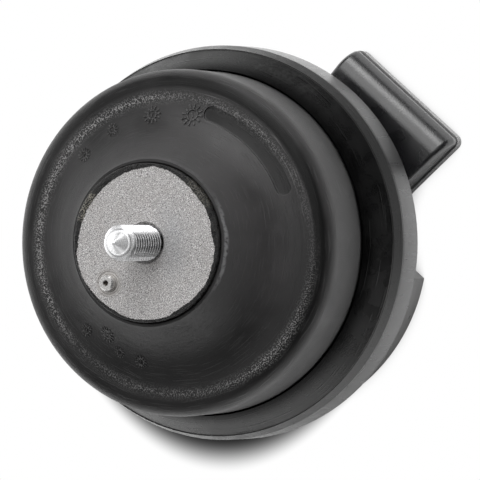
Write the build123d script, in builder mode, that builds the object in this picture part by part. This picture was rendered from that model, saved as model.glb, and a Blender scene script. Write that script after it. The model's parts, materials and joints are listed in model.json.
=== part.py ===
from build123d import *

import os
from math import cos, radians, sin, sqrt

os.makedirs("parts", exist_ok=True)

# Engine mount, standing on its base plate with the stud up. Millimetres.
# The origin is the mouth of the base thread, on the mount's axis. The tab points along +X.

# Base plate and lower cup, from the floor up
base_t = 3.0
sheet_t = 2.0
cup_depth = 17.0
cup_corner = 4.0
floor_margin = 0.4
rim_gap = 1.5
rim_t = 3.0
rim_rise = 4.25
rim_cut_x = 26.0

# Tab of the base plate
tab_reach = 16.2
tab_top_y = 13.2
tab_low_y = -29.2
tab_flare = 7.6
tab_corner = 2.4
tab_root_fillet = 4.0

# Vent and dowel holes in the base
vent_r = 1.5
vent_circle_r = 20.0
vent_angle = 90.0
dowel_hole_r = 4.1
dowel_circle_r = 24.0
dowel_angle = 180.0

# Threaded bush in the base
bush_r = 8.0
bush_collar_r = 12.0
bush_collar_h = 3.0
bush_cap_h = 5.0
bush_bore_r = 4.25
bush_crown_t = 2.0

# Rivets between cup and base plate
rivet_r = 2.5
rivet_head_r = 4.5
rivet_head_h = 2.0
rivet_sink_h = 1.8
rivet_circle_r = 30.0
rivet_count = 4
rivet_first_angle = 45.0

# Clamped stack above the cup's flange
bellows_flange_h = 2.0
cover_t = 1.5
nozzle_h = 5.0
ring_t = 2.5

# Rubber bell: its outer wall, shoulder, flat ring and lip
wall_r = 49.0
spring_h = 47.0
shoulder_drop = 16.5
shoulder_fillet = 5.0
bell_foot_share = 0.4686
bell_foot_drop = 13.6
bell_steepness = 58.0
lip_drop = 1.8
lip_land = 1.4
lip_w = 0.7
lip_groove_h = 0.7
arm_core_rise = 2.5
arm_root_h = 7.5
arm_root_w = 4.0
liner_t = 2.0

# Shallow kidney recess on the bell's flat ring
kidney_inset = 5.8
kidney_w = 4.4
kidney_start = -25.3
kidney_end = 21.4
kidney_depth = 0.6

# Steel ring in the bell's wall
wall_skin_t = 2.5
flange_w = 5.5
ring_head_drop = 8.5
ring_lip_w = 7.5
ring_lip_rise = 7.0
ring_lip_t = 3.5
ring_bend_drop = 1.0

# Rolled ring that clamps the stack
crimp_wall_t = 2.2
crimp_top_t = 2.0
crimp_foot_t = 1.6
crimp_clearance = 0.3
crimp_ring_clearance = 0.2
cup_flange_w = 4.0
cup_lip_clearance = 0.6

# Second drum, the sleeve over the rolled ring
jacket_wall_t = 2.5
jacket_collar_h = 7.0
jacket_clearance = 0.1
jacket_seam_w = 0.5
jacket_cone_h = 7.8
jacket_bevel_w = 1.5
jacket_bevel_h = 3.7
jacket_step = 0.3
jacket_flare = 0.3
jacket_foot_rise = 1.0
jacket_fillet = 0.5

# Core casting, its bare disc and the stud
disc_r = 21.9
disc_edge_h = 6.0
disc_edge_fillet = 0.3
core_h = 32.0
core_foot_r = 13.0
core_foot_fillet = 2.0
stud_r = 5.0
stud_out = 20.0
stud_in = 20.0
stud_cone_r = 3.7
stud_cone_h = 3.5
stud_chamfer_h = 1.0
stud_neck_r = 4.3
stud_neck_h = 1.5
stud_recess_w = 0.45
stud_recess_h = 2.0
stud_recess_chamfer = 0.5

# Locating pin and the spot face around it
pin_r = 2.2
pin_shank_r = 1.9
pin_out = 2.0
pin_in = 8.0
pin_inset = 6.1
pin_angle = 176.0
pin_chamfer = 0.4
pin_dimple_r = 0.8
pin_dimple_flat_r = 0.1
pin_dimple_h = 0.7
pin_spot_w = 1.3
pin_spot_h = 0.25

# Ball that closes the filling bore
ball_r = 3.0
ball_clearance = 0.02
ball_gap = 0.3
fill_bore_r = 1.5

# Damping channel, rivets and decoupler, from the outside in
plate_rivet_r = 1.25
plate_rivet_head_r = 2.2
plate_rivet_head_h = 0.8
plate_rivet_gap = 0.2
plate_rivet_count = 4
channel_outer_wall = 1.35
channel_w = 8.0
channel_h = 3.5
channel_arc = 300.0
window_arc = 20.0
channel_inner_wall = 4.8
decoupler_fit = 0.2
decoupler_h = 3.0
decoupler_rim_w = 3.0
decoupler_web_h = 1.8
grid_hole_r = 2.4
grid_margin = 3.1
grid_inner_r = 8.0
grid_inner_count = 6
grid_outer_count = 10

# Bellows and its ring
bellows_t = 1.6
bellows_ring_t = 0.8
bellows_gap = 0.2
bellows_collar_h = 4.8
bellows_valley_inset = 9.8
bellows_valley_rise = 6.0
bellows_centre_r = 20.0
bellows_bush_gap = 3.7

# Rubber buffer on the tab
buffer_h = 7.6
buffer_toe_h = 0.6
buffer_nose_margin = 0.1
buffer_end_margin = 0.4
buffer_end_fillet = 1.6
buffer_cup_gap = 1.0
buffer_peg_r = 3.0
buffer_peg_recess = 0.3
buffer_peg_spacing = 22.0
buffer_peg_inset = 6.9

# Heights that follow, from the floor up
cup_floor_z = base_t + sheet_t
crimp_foot_z = base_t + cup_depth
cup_flange_z = crimp_foot_z + sheet_t
bellows_top_z = cup_flange_z + bellows_flange_h
cover_top_z = bellows_top_z + cover_t
nozzle_top_z = cover_top_z + nozzle_h
ring_flange_z = nozzle_top_z + ring_t
crimp_top_z = ring_flange_z + crimp_top_t
disc_z = ring_flange_z + spring_h
lip_z = disc_z - lip_drop
bell_foot_z = disc_z - bell_foot_drop
shoulder_z = disc_z - shoulder_drop
wall_top_z = shoulder_z - shoulder_fillet
ring_bend_z = wall_top_z - ring_head_drop
arm_root_z = nozzle_top_z + arm_root_h
core_foot_z = disc_z - core_h
core_taper_z = disc_z - disc_edge_h
stud_foot_z = disc_z - stud_in
ball_z = stud_foot_z - ball_gap - ball_r
ball_seat_z = ball_z - sqrt(ball_r**2 - fill_bore_r**2)
decoupler_seat_z = cover_top_z + decoupler_h
jacket_top_z = crimp_top_z + jacket_collar_h
jacket_cone_z = jacket_top_z - jacket_cone_h
jacket_edge_z = jacket_cone_z - jacket_bevel_h
jacket_foot_z = crimp_foot_z - crimp_foot_t + jacket_foot_rise
bush_top_z = cup_floor_z + bush_collar_h + bush_cap_h
buffer_top_z = base_t + buffer_h

# Radii and reaches that follow from the bell's wall
shoulder_r = wall_r - shoulder_fillet
kidney_mid_r = shoulder_r - kidney_inset
lip_r = disc_r + lip_land
bell_foot_r = lip_r + bell_foot_share * (shoulder_r - lip_r)
ring_r = wall_r - wall_skin_t
ring_in_r = ring_r - ring_t
ring_lip_r = ring_r - ring_lip_w
arm_root_r = ring_in_r - liner_t - arm_root_w
flange_r = ring_r + flange_w
crimp_r = flange_r + crimp_clearance + crimp_wall_t
jacket_edge_r = crimp_r + jacket_wall_t
jacket_foot_r = jacket_edge_r + jacket_flare
jacket_cone_r = jacket_edge_r - jacket_bevel_w
cup_r = flange_r - cup_flange_w
cup_in_r = cup_r - sheet_t
floor_r = cup_r + floor_margin
rim_r = cup_r + rim_gap + rim_t
tab_far_x = cup_r + tab_reach
tab_mid_y = (tab_top_y + tab_low_y) / 2
buffer_nose_x = tab_far_x - buffer_nose_margin
buffer_peg_x = tab_far_x - buffer_peg_inset
plate_rivet_circle_r = ring_in_r - liner_t - plate_rivet_gap - plate_rivet_head_r
channel_mid_r = plate_rivet_circle_r - plate_rivet_r - channel_outer_wall - channel_w / 2
decoupler_seat_r = channel_mid_r - channel_w / 2 - channel_inner_wall
decoupler_r = decoupler_seat_r - decoupler_fit
grid_outer_r = decoupler_r - decoupler_rim_w - grid_margin - grid_hole_r
pin_circle_r = disc_r - pin_inset
collar_foot_z = bellows_top_z - bellows_collar_h
bellows_step_z = cup_flange_z + bellows_ring_t
bellows_collar_r = cup_in_r - bellows_gap
bead_r = bellows_collar_r - bellows_ring_t
bellows_valley_r = bellows_collar_r - bellows_valley_inset
bellows_valley_z = cup_floor_z + bellows_valley_rise
bellows_centre_z = bush_top_z + bellows_bush_gap + bellows_t / 2


def polar(radius, angle):
    """Point on a circle round the mount's axis."""
    return (radius * cos(radians(angle)), radius * sin(radians(angle)))


def closed_outline(points):
    """Straight-sided closed outline inside the open line builder."""
    return Polyline(*points, close=True)


def core_flank_r(z):
    """Radius of the core's tapered flank at a height."""
    share = (z - core_foot_z) / (core_taper_z - core_foot_z)
    return core_foot_r + (disc_r - core_foot_r) * share


pin_spot = polar(pin_circle_r, pin_angle)

# Section of the steel ring, used by the ring and by the rubber around it
ring_points = [
    (ring_in_r, nozzle_top_z),
    (flange_r, nozzle_top_z),
    (flange_r, ring_flange_z),
    (ring_r, ring_flange_z),
    (ring_r, ring_bend_z),
    (ring_lip_r, ring_bend_z + ring_lip_rise),
    (ring_lip_r, ring_bend_z + ring_lip_rise - ring_lip_t),
    (ring_in_r, ring_bend_z - ring_bend_drop),
]

# Outline of the tab, wider outwards on one side, used by the base plate and by the buffer
tab_points = [
    (0, tab_low_y + tab_flare),
    (tab_far_x, tab_low_y),
    (tab_far_x, tab_top_y),
    (0, tab_top_y),
]

# Circles of flow holes above and below the decoupler
grid_circles = ((grid_inner_r, grid_inner_count), (grid_outer_r, grid_outer_count))

# Core casting with the stud's bore, the ball's seat and the pin's hole
with BuildPart() as core:
    with BuildSketch(Plane.XZ):
        with BuildLine():
            closed_outline(
                [
                    (0, core_foot_z),
                    (core_foot_r, core_foot_z),
                    (disc_r, core_taper_z),
                    (disc_r, disc_z),
                    (0, disc_z),
                ]
            )
        make_face()
    revolve(axis=Axis.Z)
    core_rims = core.edges().filter_by(GeomType.CIRCLE).sort_by(Axis.Z)
    core_foot_rim = core_rims[0]
    disc_rim = core_rims[-1]
    fillet(disc_rim, disc_edge_fillet)
    fillet(core_foot_rim, core_foot_fillet)
    with Locations((0, 0, disc_z)):
        CounterBoreHole(stud_r, stud_r + stud_recess_w, stud_recess_h, stud_in)
    face_rims = core.edges().filter_by(GeomType.CIRCLE).group_by(Axis.Z)[-1]
    recess_rim = face_rims.sort_by(SortBy.RADIUS)[0]
    chamfer(recess_rim, stud_recess_chamfer)
    with Locations((0, 0, stud_foot_z)):
        Hole(ball_r + ball_clearance, stud_foot_z - ball_seat_z)
    with Locations((0, 0, ball_seat_z)):
        Hole(fill_bore_r, ball_seat_z - core_foot_z)
    with Locations((*pin_spot, disc_z)):
        CounterBoreHole(pin_shank_r, pin_r + pin_spot_w, pin_spot_h, pin_in)
core.part.label = "core"
export_step(core.part, "parts/core.step")

# Stud with its cone point, chamfer and the neck in the core's recess
with BuildPart() as stud:
    with BuildSketch(Plane.XZ):
        with BuildLine():
            stud_tip_z = disc_z + stud_out
            cone_z = stud_tip_z - stud_cone_h
            closed_outline(
                [
                    (0, stud_foot_z),
                    (stud_r, stud_foot_z),
                    (stud_r, disc_z - stud_recess_h),
                    (stud_neck_r, disc_z - stud_recess_h),
                    (stud_neck_r, disc_z - stud_recess_h + stud_neck_h),
                    (stud_r, disc_z - stud_recess_h + stud_neck_h + stud_r - stud_neck_r),
                    (stud_r, cone_z - stud_chamfer_h),
                    (stud_cone_r, cone_z),
                    (0, stud_tip_z),
                ]
            )
        make_face()
    revolve(axis=Axis.Z)
stud.part.label = "stud"
export_step(stud.part, "parts/stud.step")

# Locating pin with a slimmer shank and a chamfered, dimpled end
with BuildPart() as locating_pin:
    with BuildSketch(Plane.XY.offset(disc_z - pin_in)):
        with Locations(pin_spot):
            Circle(pin_shank_r)
    extrude(amount=pin_in)
    with BuildSketch(Plane.XY.offset(disc_z)):
        with Locations(pin_spot):
            Circle(pin_r)
    extrude(amount=pin_out)
    chamfer(locating_pin.edges().sort_by(Axis.Z)[-1], pin_chamfer)
    with Locations((*pin_spot, disc_z + pin_out - pin_dimple_h / 2)):
        Cone(pin_dimple_flat_r, pin_dimple_r, pin_dimple_h, mode=Mode.SUBTRACT)
locating_pin.part.label = "locating_pin"
export_step(locating_pin.part, "parts/locating_pin.step")

# Ball that closes the filling bore below the stud
with BuildPart() as fill_ball:
    with Locations((0, 0, ball_z)):
        Sphere(ball_r)
fill_ball.part.label = "fill_ball"
export_step(fill_ball.part, "parts/fill_ball.step")

# Steel ring in the bell's wall
with BuildPart() as spring_ring:
    with BuildSketch(Plane.XZ):
        with BuildLine():
            closed_outline(ring_points)
        make_face()
    revolve(axis=Axis.Z)
spring_ring.part.label = "spring_ring"
export_step(spring_ring.part, "parts/spring_ring.step")

# Kidney outline, kept aside to sink the recess into the bell
with BuildPart() as kidney_block:
    with BuildSketch(Plane.XY.offset(wall_top_z)):
        with BuildLine() as kidney_line:
            CenterArc((0, 0), kidney_mid_r, kidney_start, kidney_end - kidney_start)
        SlotArc(kidney_line.edge(), kidney_w)
    extrude(amount=2 * shoulder_fillet)


def bell_curve(drop):
    """Bell and shoulder line from the lip to the wall, sunk by a given depth."""
    Spline(
        (lip_r, lip_z - drop),
        (bell_foot_r, bell_foot_z - drop),
        (shoulder_r, shoulder_z - drop),
        tangents=((cos(radians(bell_steepness)), -sin(radians(bell_steepness))), (1, 0)),
    )
    CenterArc((shoulder_r, wall_top_z - drop), shoulder_fillet, 90, -90)


# Skin of the bell down to the recess's floor
with BuildPart() as bell_skin:
    with BuildSketch(Plane.XZ):
        with BuildLine():
            bell_curve(0)
            Line((wall_r, wall_top_z), (wall_r, wall_top_z - kidney_depth))
            bell_curve(kidney_depth)
            Line((lip_r, lip_z - kidney_depth), (lip_r, lip_z))
        make_face()
    revolve(axis=Axis.Z)

# Rubber bell, moulded round the core and the steel ring
with BuildPart() as main_spring:
    with BuildSketch(Plane.XZ):
        with BuildLine():
            bell_curve(0)
            ring_mid_r = (ring_r + ring_in_r) / 2
            arm_core_z = core_foot_z + arm_core_rise
            Polyline(
                (wall_r, wall_top_z),
                (wall_r, crimp_top_z),
                (ring_mid_r, crimp_top_z),
                (ring_mid_r, nozzle_top_z),
                (ring_in_r - liner_t, nozzle_top_z),
                (ring_in_r - liner_t, arm_root_z - liner_t),
                (arm_root_r, arm_root_z),
                (core_flank_r(arm_core_z), arm_core_z),
                (disc_r, core_taper_z),
                (disc_r, lip_z - lip_groove_h),
                (lip_r - lip_w, lip_z),
                (lip_r, lip_z),
            )
        make_face()
        with BuildLine():
            closed_outline(ring_points)
        make_face(mode=Mode.SUBTRACT)
    revolve(axis=Axis.Z)
    add(bell_skin.part & kidney_block.part, mode=Mode.SUBTRACT)
main_spring.part.label = "main_spring"
export_step(main_spring.part, "parts/main_spring.step")

# Rolled ring round the clamped stack
with BuildPart() as crimp_ring:
    with BuildSketch(Plane.XZ):
        with BuildLine():
            closed_outline(
                [
                    (ring_r + crimp_ring_clearance, crimp_top_z),
                    (crimp_r, crimp_top_z),
                    (crimp_r, crimp_foot_z - crimp_foot_t),
                    (cup_r + cup_lip_clearance, crimp_foot_z - crimp_foot_t),
                    (cup_r + cup_lip_clearance, crimp_foot_z),
                    (flange_r + crimp_clearance, crimp_foot_z),
                    (flange_r + crimp_clearance, ring_flange_z),
                    (ring_r + crimp_ring_clearance, ring_flange_z),
                ]
            )
        make_face()
    revolve(axis=Axis.Z)
crimp_ring.part.label = "crimp_ring"
export_step(crimp_ring.part, "parts/crimp_ring.step")

# Second drum, moulded over the rolled ring
with BuildPart() as jacket:
    with BuildSketch(Plane.XZ) as jacket_section:
        with BuildLine():
            bore_r = wall_r + jacket_clearance
            closed_outline(
                [
                    (bore_r, crimp_top_z),
                    (bore_r, jacket_top_z - jacket_seam_w),
                    (bore_r + jacket_seam_w, jacket_top_z),
                    (jacket_cone_r, jacket_cone_z),
                    (jacket_cone_r + jacket_step, jacket_cone_z),
                    (jacket_edge_r, jacket_edge_z),
                    (jacket_foot_r, jacket_foot_z),
                    (crimp_r, jacket_foot_z),
                    (crimp_r, crimp_top_z),
                ]
            )
        make_face()
        outermost_corners = jacket_section.vertices().sort_by(Axis.X)[-2:]
        fillet(outermost_corners, jacket_fillet)
    revolve(axis=Axis.Z)
jacket.part.label = "jacket"
export_step(jacket.part, "parts/jacket.step")

# Upper nozzle plate with the damping channel, the decoupler's seat and its grid
with BuildPart() as upper_nozzle_plate:
    with BuildSketch(Plane.XY.offset(cover_top_z)):
        Circle(flange_r)
    extrude(amount=nozzle_h)
    with BuildSketch(Plane.XY.offset(cover_top_z)):
        Circle(decoupler_seat_r)
    extrude(amount=decoupler_h, mode=Mode.SUBTRACT)
    with BuildSketch(Plane.XZ):
        with Locations((channel_mid_r, cover_top_z + channel_h / 2)):
            Rectangle(channel_w, channel_h)
    revolve(axis=Axis.Z, revolution_arc=channel_arc, mode=Mode.SUBTRACT)
    with BuildSketch(Plane.XZ):
        with Locations((channel_mid_r, cover_top_z + nozzle_h / 2)):
            Rectangle(channel_w, nozzle_h)
    revolve(axis=Axis.Z, revolution_arc=window_arc, mode=Mode.SUBTRACT)
    with BuildSketch(Plane.XY.offset(decoupler_seat_z)):
        for grid_r, grid_count in grid_circles:
            with PolarLocations(grid_r, grid_count):
                Circle(grid_hole_r)
    extrude(amount=nozzle_top_z - decoupler_seat_z, mode=Mode.SUBTRACT)
    with BuildSketch(Plane.XY.offset(cover_top_z)):
        with PolarLocations(plate_rivet_circle_r, plate_rivet_count):
            Circle(plate_rivet_r)
    extrude(amount=nozzle_h, mode=Mode.SUBTRACT)
upper_nozzle_plate.part.label = "upper_nozzle_plate"
export_step(upper_nozzle_plate.part, "parts/upper_nozzle_plate.step")

# Cover of the channel, with the outlet window at the channel's far end
with BuildPart() as lower_nozzle_plate:
    with BuildSketch(Plane.XY.offset(bellows_top_z)):
        Circle(flange_r)
        for grid_r, grid_count in grid_circles:
            with PolarLocations(grid_r, grid_count):
                Circle(grid_hole_r, mode=Mode.SUBTRACT)
        with PolarLocations(plate_rivet_circle_r, plate_rivet_count):
            Circle(plate_rivet_r, mode=Mode.SUBTRACT)
    extrude(amount=cover_t)
    outlet_plane = Plane.XZ.rotated((0, 0, window_arc - channel_arc))
    with BuildSketch(outlet_plane):
        with Locations((channel_mid_r, bellows_top_z + cover_t / 2)):
            Rectangle(channel_w, cover_t)
    revolve(axis=Axis.Z, revolution_arc=window_arc, mode=Mode.SUBTRACT)
lower_nozzle_plate.part.label = "lower_nozzle_plate"
export_step(lower_nozzle_plate.part, "parts/lower_nozzle_plate.step")

# Decoupler membrane, clamped by its thick rim
with BuildPart() as decoupler:
    with BuildSketch(Plane.XY.offset(cover_top_z)):
        Circle(decoupler_r)
        Circle(decoupler_r - decoupler_rim_w, mode=Mode.SUBTRACT)
    extrude(amount=decoupler_h)
    with BuildSketch(Plane.XY.offset(cover_top_z + (decoupler_h - decoupler_web_h) / 2)):
        Circle(decoupler_r - decoupler_rim_w)
    extrude(amount=decoupler_web_h)
decoupler.part.label = "decoupler"
export_step(decoupler.part, "parts/decoupler.step")

# Small rivets through both nozzle plates
with BuildPart() as nozzle_rivets:
    with BuildSketch(Plane.XY.offset(bellows_top_z)):
        with PolarLocations(plate_rivet_circle_r, plate_rivet_count):
            Circle(plate_rivet_r)
    extrude(amount=nozzle_top_z - bellows_top_z)
    for head_z in (nozzle_top_z, bellows_top_z - plate_rivet_head_h):
        with BuildSketch(Plane.XY.offset(head_z)):
            with PolarLocations(plate_rivet_circle_r, plate_rivet_count):
                Circle(plate_rivet_head_r)
        extrude(amount=plate_rivet_head_h)
nozzle_rivets.part.label = "nozzle_rivets"
export_step(nozzle_rivets.part, "parts/nozzle_rivets.step")

# Steel ring bonded to the bellows' edge
with BuildPart() as bellows_ring:
    with BuildSketch(Plane.XZ):
        with BuildLine():
            closed_outline(
                [
                    (bead_r, collar_foot_z),
                    (bellows_collar_r, collar_foot_z),
                    (bellows_collar_r, cup_flange_z),
                    (flange_r, cup_flange_z),
                    (flange_r, bellows_step_z),
                    (bead_r, bellows_step_z),
                ]
            )
        make_face()
    revolve(axis=Axis.Z)
bellows_ring.part.label = "bellows_ring"
export_step(bellows_ring.part, "parts/bellows_ring.step")

# Bellows: a bead on its ring and a thin wave across the cup
with BuildPart() as bellows:
    with BuildSketch(Plane.XZ):
        with BuildLine():
            closed_outline(
                [
                    (bead_r - bellows_t, collar_foot_z),
                    (bead_r, collar_foot_z),
                    (bead_r, bellows_step_z),
                    (flange_r, bellows_step_z),
                    (flange_r, bellows_top_z),
                    (bead_r - bellows_t, bellows_top_z),
                ]
            )
        make_face()
        with BuildLine() as wave:
            Spline(
                (bead_r - bellows_t / 2, collar_foot_z),
                (bellows_valley_r, bellows_valley_z),
                (bellows_centre_r, bellows_centre_z),
                tangents=((0, -1), (-1, 0)),
            )
            Line((bellows_centre_r, bellows_centre_z), (0, bellows_centre_z))
        trace(wave.line, line_width=bellows_t)
    revolve(axis=Axis.Z)
bellows.part.label = "bellows"
export_step(bellows.part, "parts/bellows.step")

# Sheet steel cup under the bellows
with BuildPart() as lower_cup:
    with BuildSketch(Plane.XZ):
        with BuildLine():
            Polyline(
                (bush_r, cup_floor_z),
                (bush_r, base_t),
                (cup_r - cup_corner, base_t),
            )
            CenterArc((cup_r - cup_corner, base_t + cup_corner), cup_corner, -90, 90)
            Polyline(
                (cup_r, base_t + cup_corner),
                (cup_r, crimp_foot_z),
                (flange_r, crimp_foot_z),
                (flange_r, cup_flange_z),
                (cup_in_r, cup_flange_z),
                (cup_in_r, base_t + cup_corner),
            )
            CenterArc((cup_r - cup_corner, base_t + cup_corner), cup_corner - sheet_t, 0, -90)
            Line((cup_r - cup_corner, cup_floor_z), (bush_r, cup_floor_z))
        make_face()
    revolve(axis=Axis.Z)
    with BuildSketch(Plane.XY.offset(base_t)):
        with PolarLocations(rivet_circle_r, rivet_count, start_angle=rivet_first_angle):
            Circle(rivet_r)
        with Locations(polar(vent_circle_r, vent_angle)):
            Circle(vent_r)
    extrude(amount=sheet_t, mode=Mode.SUBTRACT)
lower_cup.part.label = "lower_cup"
export_step(lower_cup.part, "parts/lower_cup.step")

# Base plate: floor, upturned rim that stops at a straight cut, and the tab
with BuildPart() as base_plate:
    with BuildSketch(Plane.XY) as floor_outline:
        Circle(rim_r)
        with Locations((rim_cut_x, 0)):
            Rectangle(rim_r, 2 * rim_r, align=(Align.MIN, Align.CENTER), mode=Mode.SUBTRACT)
        Circle(floor_r)
        with BuildLine():
            closed_outline(tab_points)
        make_face()
        tab_corners = floor_outline.vertices().sort_by(Axis.X)[-2:]
        fillet(tab_corners, tab_corner)
        tab_roots = floor_outline.vertices().sort_by(Axis.X)[-6:-4]
        fillet(tab_roots, tab_root_fillet)
    extrude(amount=base_t)
    with BuildSketch(Plane.XY.offset(base_t)):
        Circle(rim_r)
        Circle(rim_r - rim_t, mode=Mode.SUBTRACT)
        with Locations((rim_cut_x, 0)):
            Rectangle(rim_r, 2 * rim_r, align=(Align.MIN, Align.CENTER), mode=Mode.SUBTRACT)
    extrude(amount=rim_rise)
    with BuildSketch(Plane.XY):
        Circle(bush_r)
        with Locations(polar(vent_circle_r, vent_angle)):
            Circle(vent_r)
        with Locations(polar(dowel_circle_r, dowel_angle)):
            Circle(dowel_hole_r)
        with Locations((buffer_peg_x, tab_mid_y)):
            with GridLocations(0, buffer_peg_spacing, 1, 2):
                Circle(buffer_peg_r)
    extrude(amount=base_t, mode=Mode.SUBTRACT)
    with PolarLocations(rivet_circle_r, rivet_count, start_angle=rivet_first_angle):
        with Locations((0, 0, rivet_sink_h / 2)):
            Cone(rivet_head_r, rivet_r, rivet_sink_h, mode=Mode.SUBTRACT)
        with Locations((0, 0, base_t / 2)):
            Cylinder(rivet_r, base_t, mode=Mode.SUBTRACT)
base_plate.part.label = "base_plate"
export_step(base_plate.part, "parts/base_plate.step")

# Countersunk rivets between the cup and the base plate
with BuildPart() as base_rivets:
    with PolarLocations(rivet_circle_r, rivet_count, start_angle=rivet_first_angle):
        with Locations((0, 0, rivet_sink_h / 2)):
            Cone(rivet_head_r, rivet_r, rivet_sink_h)
        with Locations((0, 0, cup_floor_z / 2)):
            Cylinder(rivet_r, cup_floor_z)
        with Locations((0, 0, cup_floor_z + rivet_head_h / 2)):
            Cylinder(rivet_head_r, rivet_head_h)
base_rivets.part.label = "base_rivets"
export_step(base_rivets.part, "parts/base_rivets.step")

# Threaded bush with a collar on the cup's floor and a blind bore
with BuildPart() as base_bush:
    with BuildSketch(Plane.XZ):
        with BuildLine():
            closed_outline(
                [
                    (0, 0),
                    (bush_r, 0),
                    (bush_r, cup_floor_z),
                    (bush_collar_r, cup_floor_z),
                    (bush_collar_r, cup_floor_z + bush_collar_h),
                    (bush_r, cup_floor_z + bush_collar_h),
                    (bush_r, bush_top_z),
                    (0, bush_top_z),
                ]
            )
        make_face()
    revolve(axis=Axis.Z)
    with BuildSketch(Plane.XY):
        Circle(bush_bore_r)
    extrude(amount=bush_top_z - bush_crown_t, mode=Mode.SUBTRACT)
base_bush.part.label = "base_bush"
export_step(base_bush.part, "parts/base_bush.step")

# Half-round buffer moulded on the tab, with two pegs through it
with BuildPart() as buffer:
    with BuildSketch(Plane.XY.offset(base_t)):
        with BuildLine():
            closed_outline(tab_points)
        make_face()
        offset(amount=-buffer_end_margin)
    extrude(amount=buffer_top_z - base_t)
    with BuildSketch(Plane.XZ):
        with BuildLine():
            nose_r = buffer_h - buffer_toe_h
            nose_z = base_t + buffer_toe_h
            Polyline(
                (buffer_nose_x, nose_z),
                (buffer_nose_x, base_t),
                (0, base_t),
                (0, buffer_top_z),
                (buffer_nose_x - nose_r, buffer_top_z),
            )
            CenterArc((buffer_nose_x - nose_r, nose_z), nose_r, 90, -90)
        make_face()
    extrude(amount=wall_r, both=True, mode=Mode.INTERSECT)
    with Locations((0, 0, base_t)):
        Cylinder(
            cup_r + buffer_cup_gap,
            buffer_top_z,
            align=(Align.CENTER, Align.CENTER, Align.MIN),
            mode=Mode.SUBTRACT,
        )
    buffer_ends = buffer.faces().filter_by(GeomType.PLANE).sort_by(Axis.Y)
    end_edges = buffer_ends[0].edges() + buffer_ends[-1].edges()
    upper_edges = end_edges.filter_by_position(Axis.Z, base_t, buffer_top_z, inclusive=(False, True))
    fillet(upper_edges.filter_by(lambda e: e.center().X > cup_r), buffer_end_fillet)
    with BuildSketch(Plane.XY.offset(buffer_peg_recess)):
        with Locations((buffer_peg_x, tab_mid_y)):
            with GridLocations(0, buffer_peg_spacing, 1, 2):
                Circle(buffer_peg_r)
    extrude(amount=base_t - buffer_peg_recess)
buffer.part.label = "buffer"
export_step(buffer.part, "parts/buffer.step")
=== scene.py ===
# %% [markdown]
# # A round engine mount
# An engine mount is a rubber spring between an engine and the frame that carries it. This one
# has a rubber bell on a metal core with a threaded stud, a wider rubber drum round its middle,
# and a base plate whose tab carries a rubber buffer. The solid model gives every shape and size.
# The cells below add what it leaves out: the cut threads, the torn skin of rubber on the core,
# the stamps that the mould leaves, and the finish of each surface.

# %% The solid model as a fixed frame
import json
from math import cos, pi, radians, sin

import bmesh
import bpy
from mathutils import Matrix, Vector, noise


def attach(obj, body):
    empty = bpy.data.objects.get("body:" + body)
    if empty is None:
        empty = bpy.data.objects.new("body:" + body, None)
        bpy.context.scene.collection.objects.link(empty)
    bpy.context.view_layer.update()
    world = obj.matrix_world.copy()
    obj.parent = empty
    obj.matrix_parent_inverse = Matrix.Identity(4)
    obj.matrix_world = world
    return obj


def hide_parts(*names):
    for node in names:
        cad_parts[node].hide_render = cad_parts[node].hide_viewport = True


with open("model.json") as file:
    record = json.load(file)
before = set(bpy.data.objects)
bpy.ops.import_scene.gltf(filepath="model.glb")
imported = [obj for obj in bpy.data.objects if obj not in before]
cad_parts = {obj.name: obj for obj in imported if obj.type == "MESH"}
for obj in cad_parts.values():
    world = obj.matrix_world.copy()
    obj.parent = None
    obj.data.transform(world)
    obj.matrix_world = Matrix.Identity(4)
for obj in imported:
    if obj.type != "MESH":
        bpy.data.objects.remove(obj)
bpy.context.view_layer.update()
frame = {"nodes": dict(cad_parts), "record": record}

nodes = frame["nodes"]
scene = bpy.context.scene
mm = 0.001
print("pieces in the frame:", len(nodes))

# %% [markdown]
# The camera takes the photo's view: above the mount and off to one side, far away behind a long
# lens, so that near and far edges are almost the same size. Its place and its three directions
# are written in the frame of the solid model.

# %% Camera
camera_place = Vector((0.287835, -0.327848, 0.980200))
image_right = Vector((0.598697, -0.686705, -0.412309))
image_up = Vector((0.753563, 0.657375, -0.000648))
backwards = image_right.cross(image_up)
camera_turn = Matrix((image_right, image_up, backwards)).transposed().to_4x4()

camera_data = bpy.data.cameras.new("photo_camera")
camera_data.lens = 271.2
camera_data.sensor_width = 36.0
camera = bpy.data.objects.new("photo_camera", camera_data)
camera.matrix_world = Matrix.Translation(camera_place) @ camera_turn
scene.collection.objects.link(camera)
scene.camera = camera
scene.view_settings.view_transform = "Standard"
print("camera looks along", tuple(round(-v, 3) for v in backwards))

# %% [markdown]
# Every material and every Geometry Nodes tree is wired with the same small helpers. The first
# one adds a node, sets its options, and fills its sockets with a value or with a link from
# another node. The others each make one step of arithmetic that the patterns below need often.

# %% Helpers that wire nodes
def put(tree, kind, sockets=None, **options):
    """Adds a node with its options, then fills its sockets with values or links."""
    made = tree.nodes.new(kind)
    for option, value in options.items():
        setattr(made, option, value)
    for socket, value in (sockets or {}).items():
        if isinstance(value, bpy.types.NodeSocket):
            tree.links.new(value, made.inputs[socket])
        else:
            made.inputs[socket].default_value = value
    return made


def sums(tree, operation, first, second=0.0, third=0.0):
    """One step of arithmetic, returned as its socket."""
    return put(tree, "ShaderNodeMath", {0: first, 1: second, 2: third}, operation=operation).outputs[0]


def product(tree, first, *others):
    """Two or more values multiplied."""
    for other in others:
        first = sums(tree, "MULTIPLY", first, other)
    return first


def mixed(tree, share, first, second):
    """A value between two others, by a share."""
    ends = {"Factor": share, "A": first, "B": second}
    return put(tree, "ShaderNodeMix", ends, data_type="FLOAT").outputs["Result"]


def along(tree, point, direction):
    """How far a point lies along a direction."""
    ends = {0: point, 1: direction}
    return put(tree, "ShaderNodeVectorMath", ends, operation="DOT_PRODUCT").outputs["Value"]

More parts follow.
